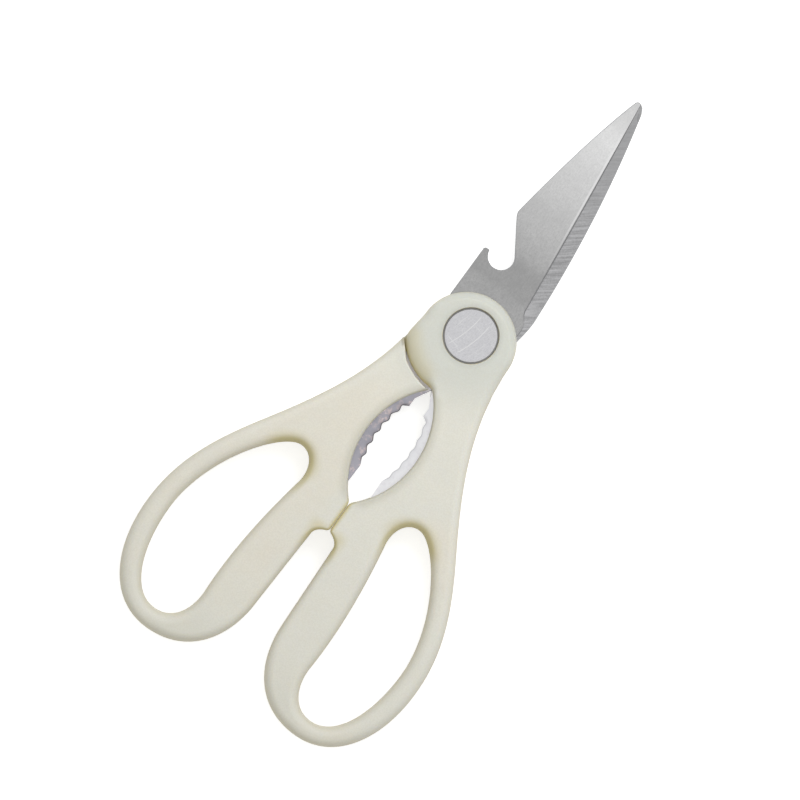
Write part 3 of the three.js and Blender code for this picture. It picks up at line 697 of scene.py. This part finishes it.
class Graph:
    """Adds nodes to one material or world and joins them."""

    def __init__(self, owner):
        owner.use_nodes = True
        self.tree = owner.node_tree
        self.tree.nodes.clear()

    def fill(self, socket, value):
        if isinstance(value, bpy.types.NodeSocket):
            self.tree.links.new(value, socket)
        else:
            socket.default_value = value

    def add(self, kind, inputs=None, **settings):
        node = self.tree.nodes.new(kind)
        for key, value in settings.items():
            setattr(node, key, value)
        for key, value in (inputs or {}).items():
            self.fill(node.inputs[key], value)
        return node

    def math(self, operation, *values):
        return self.add("ShaderNodeMath", dict(enumerate(values)), operation=operation).outputs[0]

    def times(self, first, *others):
        for other in others:
            first = self.math("MULTIPLY", first, other)
        return first

    def weighed(self, first, second, share):
        """A share of the first value and the rest of the second."""
        return self.math("MULTIPLY_ADD", first, share, self.math("MULTIPLY", second, 1 - share))

    def ramp(self, value, low, high, to_low, to_high, smooth=True):
        kind = "SMOOTHSTEP" if smooth else "LINEAR"
        sizes = {"Value": value, "From Min": low, "From Max": high, "To Min": to_low, "To Max": to_high}
        return self.add("ShaderNodeMapRange", sizes, interpolation_type=kind).outputs["Result"]

    def window(self, value, low, full, fade, high, share=1.0):
        """Rises to the share between low and full, and falls off again between fade and high."""
        return self.times(self.ramp(value, low, full, 0, 1), self.ramp(value, fade, high, 1, 0), share)

    def patch(self, x, y, across, along, share=1.0):
        """A rectangle with soft sides, from the limits of one window across it and one along it."""
        return self.window(x, *across, self.window(y, *along, share))

    def blend(self, factor, first, second):
        node = self.add("ShaderNodeMix", {"Factor": factor}, data_type="RGBA")
        self.fill(node.inputs[6], first)
        self.fill(node.inputs[7], second)
        return node.outputs[2]

    def position(self):
        return self.add("ShaderNodeTexCoord").outputs["Object"]

    def along(self, position, direction):
        """How far a place lies along a direction, in units of the direction's own inverse length."""
        node = self.add("ShaderNodeVectorMath", {0: position, 1: direction}, operation="DOT_PRODUCT")
        return node.outputs["Value"]

    def millimetres(self, position):
        """The three coordinates of a place in millimetres."""
        return [self.along(position, axis) for axis in ((1 / MM, 0, 0), (0, 1 / MM, 0), (0, 0, 1 / MM))]

    def brushing(self, position, degrees):
        """How far a place lies across and along the lines of a brushed face, in millimetres."""
        cosine = math.cos(math.radians(degrees)) / MM
        sine = math.sin(math.radians(degrees)) / MM
        return self.along(position, (-sine, cosine, 0)), self.along(position, (cosine, sine, 0))

    def away(self, x, y, centre):
        """How far a place lies from a centre in the plane of the blades."""
        across = self.math("SUBTRACT", x, centre[0])
        onward = self.math("SUBTRACT", y, centre[1])
        square = self.math("MULTIPLY_ADD", across, across, self.math("MULTIPLY", onward, onward))
        return self.math("SQRT", square)

    def noise(self, position, scale, detail=2.0, roughness=0.5):
        inputs = {"Vector": position, "Scale": scale, "Detail": detail, "Roughness": roughness}
        return self.add("ShaderNodeTexNoise", inputs).outputs["Fac"]

    def drawn_out(self, coordinates, scale, detail, roughness):
        """Noise of the given coordinates, which are stretched so that it comes out as lines."""
        spot = self.add("ShaderNodeCombineXYZ", dict(zip("XYZ", coordinates))).outputs["Vector"]
        return self.noise(spot, scale, detail, roughness)

    def bump(self, height, strength, distance, normal=None):
        inputs = {"Height": height, "Strength": strength, "Distance": distance}
        if normal is not None:
            inputs["Normal"] = normal
        return self.add("ShaderNodeBump", inputs).outputs["Normal"]

    def output(self, kind, shader):
        self.tree.links.new(shader.outputs[0], self.add(kind).inputs["Surface"])

    def finish(self, colour, rough, shape, settings):
        """Ends a material with one shader. The settings are the same all over the surface."""
        inputs = {"Base Color": colour, "Roughness": rough, "Normal": shape, **settings}
        self.output("ShaderNodeOutputMaterial", self.add("ShaderNodeBsdfPrincipled", inputs))


def srgb(red, green, blue):
    """A screen colour from 0 to 255 as the linear colour a shader takes."""
    values = [v / 255 for v in (red, green, blue)]
    return tuple(v / 12.92 if v <= 0.04045 else ((v + 0.055) / 1.055) ** 2.4 for v in values) + (1.0,)


def linear(red, green, blue):
    return (red, green, blue, 1.0)


def grey(level):
    return linear(level, level, level)


METAL = {"Metallic": 1.0}


# Plastic of the handles

# Colours of the plastic. The ones for near the pivot, and those from the steep faces to the seams, are
# painted shade.
IVORY = {
    "warm": srgb(229, 225, 213),
    "cool": srgb(227, 226, 217),
    "pale": srgb(231, 229, 219),
    "round the pivot": srgb(211, 213, 206),
    "loop ends": srgb(217, 216, 205),
    "steep": srgb(221, 216, 198),
    "painted_warm_shade": srgb(207, 198, 152),
    "painted_crease_shade": srgb(206, 196, 148),
    "painted lens edge shade": srgb(190, 188, 174),
    "painted bore edge shade": srgb(190, 192, 186),
    "painted boss rim shade": srgb(197, 199, 192),
    "shoulder": srgb(200, 194, 165),
    "painted neck lip shade": srgb(170, 165, 145),
    "painted_seam_shade": srgb(220, 206, 146),
    "grain": srgb(186, 182, 166),
}
HOLE_CROWN = (21.8, -62.0)
SEAM_REACH = 0.004


def ivory_flats(g, position, y, from_pivot):
    """Clouded flat faces, with painted shade near the pivot, and greyer at the ends of the loops."""
    cloud = g.noise(position, 90, 3, 0.6)
    drift = g.noise(position, 28, 2, 0.5)
    colour = g.blend(g.ramp(drift, 0.42, 0.58, 0, 1), IVORY["warm"], IVORY["cool"])
    colour = g.blend(g.ramp(cloud, 0.35, 0.65, 0, 0.5), colour, IVORY["pale"])
    # Painted shade near the pivot.
    colour = g.blend(g.ramp(from_pivot, 30, 14, 0, 1), colour, IVORY["round the pivot"])
    return g.blend(g.ramp(y, -104, -124, 0, 0.6), colour, IVORY["loop ends"])


def ivory_creases(g, colour, aside, y, up):
    """Painted warm shade on the edges above the finger holes and round the stop, and darker painted shade
    along the lens.
    """
    # Painted warm shade on the steep edges above the finger holes and round the stop.
    hole_top = g.patch(aside, y, (11, 14, 27, 31), (-72, -60, -54, -51))
    stop = g.patch(aside, y, (-2, -1, 5, 9), (-82, -72, -61, -58))
    painted_warm_shade = g.times(g.math("MAXIMUM", hole_top, stop), g.ramp(up, 1.0, 0.72, 0, 0.8))
    colour = g.blend(painted_warm_shade, colour, IVORY["painted_warm_shade"])
    # Painted crease shade along the stop, at the hook corners and in a band above each finger hole.
    stop_line = g.patch(aside, y, (-2, -1, 0.3, 1.7), (-74, -71, -61, -60), 0.75)
    hook = g.patch(aside, y, (-2, -1, 3.2, 7.5), (-80, -74, -71.5, -68), 0.6)
    above_hole = g.window(g.away(aside, y, HOLE_CROWN), 4, 6, 7, 11.5, g.ramp(y, -64, -57, 0, 0.5))
    painted_crease_shade = g.math("MAXIMUM", g.math("MAXIMUM", stop_line, hook), above_hole)
    colour = g.blend(painted_crease_shade, colour, IVORY["painted_crease_shade"])
    # Painted shade along the edge of the lens.
    past_lens = g.math("SUBTRACT", g.away(aside, y, LENS_CENTRE), LENS_RADIUS)
    lens_edge = g.times(g.ramp(past_lens, 0, 3.4, 0.6, 0), g.window(y, -62, -58, -21, -19))
    return g.blend(lens_edge, colour, IVORY["painted lens edge shade"])


def ivory_boss(g, colour, spot, up, from_pivot):
    """Painted shade: greyer round the bore and on the boss's rim, a band on the shoulder and a darker lip on
    the neck; gives the band as well.
    """
    x, y, z = spot
    radius = g.away(x, y, (0, 0))
    # Painted shade round the bore.
    colour = g.blend(g.ramp(radius, 8.4, 10.2, 0.45, 0), colour, IVORY["painted bore edge shade"])
    # Painted shade on the boss's rounded rim.
    boss_rim = g.times(g.ramp(y, 2, 9, 0, 1), g.ramp(up, 1.0, 0.93, 0, 0.7))
    colour = g.blend(boss_rim, colour, IVORY["painted boss rim shade"])
    # Painted shade in a band down the shoulder into the gap.
    shoulder_side = g.ramp(g.times(x, g.math("SUBTRACT", z, HALF)), 4, -26, 0, 1)
    band = g.times(shoulder_side, g.ramp(y, -4, -9, 0, 1), g.ramp(from_pivot, 16.0, 20.5, 0, 0.72))
    band = g.times(band, g.ramp(from_pivot, 22.4, 21.6, 0, 1))
    colour = g.blend(band, colour, IVORY["shoulder"])
    # Painted shade on the lip of the neck beside the gap.
    neck_lip = g.patch(radius, y, (19.3, 19.5, 20.1, 20.6), (-17, -13, -10, -6), shoulder_side)
    neck_lip = g.times(neck_lip, g.ramp(up, 1.0, 0.8, 0, 0.7))
    return g.blend(neck_lip, colour, IVORY["painted neck lip shade"]), band


def ivory_plastic():
    """Moulded plastic, with painted shade that is deeper and more yellow down its rounded edges and where
    its parts meet.
    """
    mat = bpy.data.materials.new("ivory_plastic")
    g = Graph(mat)
    position = g.position()
    x, y, z = g.millimetres(position)
    length = g.add("ShaderNodeVectorMath", {0: position}, operation="LENGTH").outputs["Value"]
    from_pivot = g.math("MULTIPLY", length, 1 / MM)
    normal = g.add("ShaderNodeNewGeometry").outputs["Normal"]
    up = g.math("ABSOLUTE", g.along(normal, (0, 0, 1)))
    colour = ivory_flats(g, position, y, from_pivot)
    # Painted shade: steep faces turn deeper and warmer.
    colour = g.blend(g.ramp(up, 0.9, 0.1, 0, 1), colour, IVORY["steep"])
    colour = ivory_creases(g, colour, g.math("ABSOLUTE", x), y, up)
    colour, band = ivory_boss(g, colour, (x, y, z), up, from_pivot)
    # Painted shade, deep yellow, where little open air reaches between parts, except on the shoulder band.
    open_air = g.add("ShaderNodeAmbientOcclusion", {"Distance": SEAM_REACH}, samples=8).outputs["AO"]
    painted_seam_shade = g.times(g.ramp(open_air, 0.9, 0.3, 0, 0.8), g.math("SUBTRACT", 1.0, band))
    colour = g.blend(painted_seam_shade, colour, IVORY["painted_seam_shade"])
    grain = g.noise(position, 2200, 3, 0.6)
    colour = g.blend(g.ramp(grain, 0.35, 0.65, 0.14, 0), colour, IVORY["grain"])
    rough = g.ramp(grain, 0.3, 0.7, 0.50, 0.58, False)
    shape = g.bump(g.noise(position, 130, 2, 0.5), 0.06, 0.0004)
    shape = g.bump(grain, 0.10, 0.00006, shape)
    g.finish(colour, rough, shape, {
        "IOR": 1.49,
        "Specular IOR Level": 0.35,
        "Subsurface Weight": 0.10,
        "Subsurface Radius": (0.004, 0.003, 0.0015),
        "Subsurface Scale": 0.6,
    })
    return mat


# Steel of the blades

# Steel of the tangs: one steel, in a lighter painted copy on the front and a darker copy in painted shade on
# the back. The mottling and the back's pinkish stains are the steel's own.
FRONT_TANG_LIT = {
    "clear": linear(0.90, 0.90, 0.92),
    "stained": linear(0.85, 0.84, 0.87),
    "dull": linear(0.83, 0.83, 0.86),
    "painted_tooth_shade": linear(0.66, 0.66, 0.68),
}
BACK_TANG_SHADED = {
    "clear": linear(0.45, 0.44, 0.49),
    "stained": linear(0.70, 0.60, 0.60),
    "dull": linear(0.36, 0.36, 0.41),
    "painted_tooth_shade": linear(0.16, 0.15, 0.16),
}
# Painted light on the tang where it shows in the gap at the neck.
NECK_STEEL_PAINTED_LIGHT = linear(0.88, 0.85, 0.87)
HIGHLIGHT_INSET = 0.34


def satin_blade(g, y, speckle, cloud):
    """Painted light along the blade: grey at the heel with painted shade near it, paler onward, and painted
    shade a little darker again at the tip.
    """
    shade = g.ramp(cloud, 0.4, 0.7, 0, 0.45)
    heel = g.blend(shade, g.blend(speckle, grey(0.34), grey(0.52)), grey(0.36))
    tip = g.blend(shade, g.blend(speckle, grey(0.73), grey(0.94)), grey(0.76))
    # Painted shade near the heel, painted light rising onward, and painted shade again at the tip.
    heel = g.blend(g.window(y, 14, 18, 24, 30, 0.3), heel, grey(0.28))
    colour = g.blend(g.ramp(y, 24, 72, 0, 1, False), heel, tip)
    return g.blend(g.ramp(y, 68, 84, 0, 0.3), colour, grey(0.40))


def painted_highlight_line(g, colour, x, y, curve):
    """A painted highlight: a bright line just inside the curve of the grinding, which is given as a
    quadratic in y.
    """
    bow, slope, start = curve
    line_x = g.math("MULTIPLY_ADD", g.math("MULTIPLY_ADD", y, bow, slope), y, start)
    gap = g.math("ABSOLUTE", g.math("ADD", g.math("SUBTRACT", x, line_x), HIGHLIGHT_INSET))
    painted_highlight = g.times(g.ramp(gap, 0.05, 0.45, 0.55, 0), g.window(y, 26, 52, 66, 80))
    return g.blend(painted_highlight, colour, grey(0.95))


def behind_teeth(g, x, y, tooth_depth):
    """How far in millimetres a place lies behind the toothed edge of the jaw."""
    drop = g.math("SUBTRACT", y, JAW_MIDDLE)
    root = g.math("SQRT", g.math("SUBTRACT", JAW_RADIUS ** 2, g.times(drop, drop)))
    hollow = g.math("ADD", root, JAW_REACH - JAW_RADIUS)
    turn = g.times(g.math("SUBTRACT", y, JAW_FOOT), 2 * math.pi / TOOTH_PITCH)
    scallop = g.math("MULTIPLY_ADD", g.math("COSINE", turn), -tooth_depth / 2, tooth_depth / 2)
    return g.math("ADD", g.math("SUBTRACT", g.math("ABSOLUTE", x), hollow), scallop)


def bare_tang(g, x, y, mottle, cloud, tang, tooth_depth):
    """Mottled steel with painted shade along the teeth, and painted light where it passes through the neck.
    """
    colour = g.blend(g.ramp(mottle, 0.50, 0.64, 0, 1), tang["clear"], tang["stained"])
    colour = g.blend(g.ramp(cloud, 0.45, 0.65, 0, 0.5), colour, tang["dull"])
    inset = behind_teeth(g, x, y, tooth_depth)
    # Painted shade along the toothed edge.
    painted_tooth_shade = g.math("ADD", g.ramp(inset, 0.15, 0.5, 0.75, 0), g.ramp(inset, 0.3, 1.6, 0.25, 0))
    colour = g.blend(g.times(painted_tooth_shade, g.window(y, -50, -48, -28, -26)), colour, tang["painted_tooth_shade"])
    # Painted light where the tang passes through the neck.
    return g.blend(g.ramp(y, -21.5, -19.5, 0, 1), colour, NECK_STEEL_PAINTED_LIGHT)


def blade_steel(name, tang, extra_rough, tooth_depth, grind_curve=None):
    """Satin steel with a fine grain on the blade, and bare mottled steel on the tang behind the pivot."""
    mat = bpy.data.materials.new(name)
    g = Graph(mat)
    position = g.position()
    x, y, _ = g.millimetres(position)
    grain = g.noise(position, 2200, 3, 0.7)
    stretched = [g.along(position, axis) for axis in ((2600, 0, 0), (0, 500, 0), (0, 0, 900))]
    mixed = g.weighed(g.drawn_out(stretched, 1, 3, 0.6), grain, 0.35)
    cloud = g.noise(position, 150, 4, 0.6)
    mottle = g.noise(position, 520, 3, 0.6)
    satin = satin_blade(g, y, g.ramp(mixed, 0.3, 0.7, 0, 1, False), cloud)
    # A painted highlight beside the grinding, on the front blade only.
    if grind_curve is not None:
        satin = painted_highlight_line(g, satin, x, y, grind_curve)
    bare = bare_tang(g, x, y, mottle, cloud, tang, tooth_depth)
    on_tang = g.ramp(y, -12.5, -14, 0, 1)
    rough = g.math("ADD", g.ramp(mixed, 0.3, 0.7, 0.30, 0.42, False), g.times(on_tang, extra_rough))
    shape = g.bump(mixed, g.ramp(on_tang, 0, 1, 0.14, 0.04), 0.00005)
    shape = g.bump(mottle, g.times(on_tang, 0.15), 0.00012, shape)
    g.finish(g.blend(on_tang, satin, bare), rough, shape, METAL)
    return mat


def ground_steel():
    """The ground slope beside the cutting edge, with the lines that the grinding wheel left across it. They
    fade, and the slope darkens, towards the tip."""
    mat = bpy.data.materials.new("ground_steel")
    g = Graph(mat)
    position = g.position()
    _, y, _ = g.millimetres(position)
    across, onward = g.brushing(position, 39)
    coarse = g.drawn_out((across, g.times(onward, 0.06), 0), 1.6, 1, 0.5)
    fine = g.drawn_out((g.times(across, 5.0), g.times(onward, 0.2), 0), 1.0, 2, 0.6)
    lines = g.weighed(coarse, fine, 0.6)
    marked = g.weighed(lines, g.noise(position, 2000, 3, 0.7), 0.7)
    marked = g.math("MULTIPLY_ADD", g.math("SUBTRACT", marked, 0.5), g.ramp(y, 35, 65, 1, 0.5), 0.5)
    colour = g.blend(g.ramp(marked, 0.38, 0.62, 0, 1), linear(0.33, 0.33, 0.335), linear(0.52, 0.52, 0.53))
    colour = g.blend(g.ramp(y, 40, 76, 0, 0.5), colour, linear(0.35, 0.35, 0.356))
    rough = g.ramp(fine, 0.3, 0.7, 0.26, 0.38, False)
    g.finish(colour, rough, g.bump(lines, 0.22, 0.00012), METAL)
    return mat


def painted_shade_steel():
    """Painted shade on the steep line at the inner edge of the grinding and on the broken edges. It is paler
    near the heel.
    """
    mat = bpy.data.materials.new("painted_shade_steel")
    g = Graph(mat)
    position = g.position()
    _, y, _ = g.millimetres(position)
    grain = g.noise(position, 1400, 3, 0.7)
    colour = g.blend(g.ramp(grain, 0.35, 0.65, 0, 1), linear(0.15, 0.15, 0.155), linear(0.27, 0.27, 0.275))
    colour = g.blend(g.window(y, 8, 14, 44, 74, 0.8), colour, linear(0.36, 0.36, 0.366))
    rough = g.ramp(grain, 0.3, 0.7, 0.42, 0.55, False)
    g.finish(colour, rough, g.bump(grain, 0.15, 0.00005), METAL)
    return mat


# Steel of the rivet and nylon of the washer

# Scratches along the brushing and across it: offset, bow, start, end, width, depth
SCRATCHES_ALONG = (
    (1.8, 0.016, -6.8, 6.4, 0.24, 0.9),
    (-1.9, 0.018, -6.8, 6.6, 0.24, 1.0),
    (5.0, 0.0, -2.8, 3.6, 0.18, 0.6),
    (-4.6, 0.02, -5.4, 2.4, 0.18, 0.5),
)
SCRATCHES_ACROSS = (
    (-5.1, 0.0, -0.8, 5.4, 0.20, 0.8),
    (2.9, 0.0, -2.0, 3.6, 0.18, 0.45),
)
SCRATCH_FADE = 1.5


def scratch(g, side, run, offset, bow, start, end, width, depth):
    """A bowed line at an offset to one side, which fades in and out along its run."""
    curve = g.times(run, run, bow)
    gap = g.math("ABSOLUTE", g.math("SUBTRACT", g.math("SUBTRACT", side, curve), offset))
    mark = g.times(g.ramp(gap, 0, width, depth, 0), g.ramp(run, start, start + SCRATCH_FADE, 0, 1))
    return g.times(mark, g.ramp(run, end - SCRATCH_FADE, end, 1, 0))


def rivet_steel():
    """Brushed disc with a few light scratches."""
    mat = bpy.data.materials.new("rivet_steel")
    g = Graph(mat)
    position = g.position()
    across, onward = g.brushing(position, 75)
    brush = g.drawn_out((g.times(across, 7.0), g.times(onward, 0.5), 0), 1.0, 3, 0.65)
    mixed = g.weighed(brush, g.noise(position, 2000, 3, 0.7), 0.5)
    cloud = g.noise(position, 260, 2, 0.5)
    marks = [scratch(g, across, onward, *sizes) for sizes in SCRATCHES_ALONG]
    marks += [scratch(g, onward, across, *sizes) for sizes in SCRATCHES_ACROSS]
    scratches = marks[0]
    for mark in marks[1:]:
        scratches = g.math("MAXIMUM", scratches, mark)
    speckle = g.ramp(mixed, 0.35, 0.65, 0, 1, False)
    colour = g.blend(speckle, linear(0.57, 0.57, 0.59), linear(0.77, 0.77, 0.79))
    colour = g.blend(g.ramp(cloud, 0.3, 0.7, 0, 0.3), colour, linear(0.62, 0.615, 0.64))
    colour = g.blend(g.times(scratches, 0.7), colour, grey(0.88))
    rough = g.ramp(mixed, 0.3, 0.7, 0.30, 0.42, False)
    shape = g.bump(mixed, 0.10, 0.00004)
    shape = g.bump(scratches, 0.15, 0.00003, shape)
    g.finish(colour, rough, shape, METAL)
    return mat


def nylon():
    mat = bpy.data.materials.new("nylon")
    g = Graph(mat)
    cloud = g.noise(g.position(), 400, 3, 0.6)
    colour = g.blend(cloud, srgb(226, 225, 218), srgb(238, 237, 231))
    g.finish(colour, g.ramp(cloud, 0.3, 0.7, 0.42, 0.55), g.bump(cloud, 0.1, 0.00005), {})
    return mat


# Pieces with their materials, bodies and places in the model

materials = {
    "ivory": ivory_plastic(),
    "front blade": blade_steel("front_blade_steel", FRONT_TANG_LIT, 0.05, FRONT_TOOTH_DEPTH, FRONT_GRIND_CURVE),
    "back blade": blade_steel("back_blade_steel", BACK_TANG_SHADED, 0.0, BACK_TOOTH_DEPTH),
    "ground": ground_steel(),
    "dark": painted_shade_steel(),
    "rivet": rivet_steel(),
    "nylon": nylon(),
}

# Order of a blade's finishes, and the upward parts of its faces' normals that tell them apart
GROUND_FINISH = 1
PAINTED_SHADE_FINISH = 2
WALL_TILT = 0.2
STEP_TILT = 0.75
TANG_FLAT_TILT = 0.9
FLAT_TILT = 0.985
BLADE_FROM = 2 * MM
TANG_FROM = -19 * MM


def dress(obj, body, node, slot, *finishes):
    for finish in finishes:
        obj.data.materials.append(materials[finish])
    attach(obj, body)
    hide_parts(node)


def mark_ground(obj):
    """Gives the walls and the ground slope of a blade their own finish, and the steep line along it, the
    broken edges and the tang's sloped faces a steel of painted shade.
    """
    for face in obj.data.polygons:
        tilt = abs(face.normal.z)
        on_blade = face.center.y > BLADE_FROM
        on_tang = face.center.y < TANG_FROM
        if tilt <= WALL_TILT or on_blade and STEP_TILT < tilt < FLAT_TILT:
            face.material_index = GROUND_FINISH
        elif on_blade and tilt <= STEP_TILT or on_tang and tilt < TANG_FLAT_TILT:
            face.material_index = PAINTED_SHADE_FINISH


dress(handle("front_handle_moulding", False), "front_half", "front_handle", "ivory_plastic", "ivory")
dress(handle("back_handle_moulding", True), "back_half", "back_handle", "ivory_plastic", "ivory")
front = front_blade("front_blade_plate")
dress(front, "front_half", "front_blade", "blade_steel", "front blade", "ground", "dark")
mark_ground(front)
back = back_blade("back_blade_plate")
dress(back, "back_half", "back_blade", "blade_steel", "back blade", "ground", "dark")
mark_ground(back)
dress(pivot_rivet("rivet"), "front_half", "pivot_rivet", "rivet_steel", "rivet")
dress(set_washer("set_washer"), "front_half", "rivet_set_washer", "rivet_steel", "rivet")
dress(blade_washer("washer"), "front_half", "blade_washer", "nylon", "nylon")


# Floor, light and camera, in metres. Up in the photo is 36 degrees anticlockwise from the blades.

TILT = math.radians(36)
PHOTO_UP = Vector((-math.sin(TILT), math.cos(TILT), 0))
PHOTO_RIGHT = Vector((math.cos(TILT), math.sin(TILT), 0))
LIGHT_SIDE = Vector((0, 1, 0))
UPWARD = Vector((0, 0, 1))
CENTRE = Vector((-5.76, -27.35, 5.0)) * MM
VIEW_WIDTH = 0.235
VIEW_DISTANCE = 1.2
VIEW_END = 20
SENSOR_MM = 36
FLOOR_SIZE = 6
FLOOR_Z = -0.0002
NEAR_LIGHT = Vector((0, 0.20, 0.25))
NEAR_LIGHT_TARGET = Vector((0, 0.15, 0))
TOP_LIGHT = CENTRE + LIGHT_SIDE * 0.7 + UPWARD * 0.8


def white_floor():
    """Pale and a little shaded by the object, and white to the camera and in mirrored rays."""
    mat = bpy.data.materials.new("floor")
    g = Graph(mat)
    path = g.add("ShaderNodeLightPath")
    seen = g.math("MAXIMUM", path.outputs["Is Camera Ray"], path.outputs["Is Glossy Ray"])
    lit = g.add("ShaderNodeBsdfDiffuse", {"Color": grey(0.6)})
    glow = g.add("ShaderNodeEmission", {"Color": grey(1.0), "Strength": g.times(seen, 0.72)})
    both = g.add("ShaderNodeAddShader", {0: lit.outputs[0], 1: glow.outputs[0]})
    g.output("ShaderNodeOutputMaterial", both)
    return mat


def floor():
    bm = bmesh.new()
    bmesh.ops.create_grid(bm, x_segments=1, y_segments=1, size=FLOOR_SIZE)
    obj = object_from(bm, "floor")
    obj.location = (0, 0, FLOOR_Z)
    obj.data.materials.append(white_floor())


def studio():
    """Soft light from all round, brighter from beyond the tips and warm from behind the handles. Metal
    mirrors a paler sky without the warmth, and it is white where the camera looks past the floor."""
    world = bpy.data.worlds.new("studio")
    bpy.context.scene.world = world
    g = Graph(world)
    path = g.add("ShaderNodeLightPath")
    onward = g.along(g.add("ShaderNodeTexCoord").outputs["Generated"], LIGHT_SIDE)
    rise = g.ramp(onward, -0.8, 0.8, 0, 1, False)
    light = g.blend(rise, linear(0.59, 0.585, 0.565), linear(0.80, 0.81, 0.82))
    light = g.blend(g.ramp(onward, -0.4, -0.9, 0, 1), light, linear(0.57, 0.53, 0.40))
    mirrored = g.blend(rise, grey(0.80), grey(1.0))
    colour = g.blend(path.outputs["Is Glossy Ray"], light, mirrored)
    around = g.add("ShaderNodeBackground", {"Color": colour, "Strength": 1.0})
    white = g.add("ShaderNodeBackground", {"Color": grey(1.0), "Strength": 1.0})
    inputs = {0: path.outputs["Is Camera Ray"], 1: around.outputs[0], 2: white.outputs[0]}
    g.output("ShaderNodeOutputWorld", g.add("ShaderNodeMixShader", inputs))


def softbox(name, spot, target, width, height, power):
    """A lamp that neither the camera sees nor metal mirrors."""
    data = bpy.data.lights.new(name, "AREA")
    data.shape = "RECTANGLE"
    data.size = width
    data.size_y = height
    data.energy = power
    obj = bpy.data.objects.new(name, data)
    obj.location = spot
    obj.rotation_euler = (target - spot).to_track_quat("-Z", "Y").to_euler()
    obj.visible_camera = False
    obj.visible_glossy = False
    bpy.context.scene.collection.objects.link(obj)


def camera():
    data = bpy.data.cameras.new("camera")
    data.sensor_fit = "HORIZONTAL"
    data.sensor_width = SENSOR_MM
    data.lens = SENSOR_MM * VIEW_DISTANCE / VIEW_WIDTH
    data.clip_end = VIEW_END
    obj = bpy.data.objects.new("camera", data)
    turn = Matrix((PHOTO_RIGHT, PHOTO_UP, UPWARD)).transposed()
    obj.matrix_world = Matrix.Translation(CENTRE + UPWARD * VIEW_DISTANCE) @ turn.to_4x4()
    bpy.context.scene.collection.objects.link(obj)
    bpy.context.scene.camera = obj


floor()
studio()
softbox("near_light", NEAR_LIGHT, NEAR_LIGHT_TARGET, width=0.16, height=0.20, power=0.34)
softbox("top_light", TOP_LIGHT, CENTRE, width=0.6, height=0.5, power=1.6)
camera()
bpy.context.scene.view_settings.view_transform = "Standard"
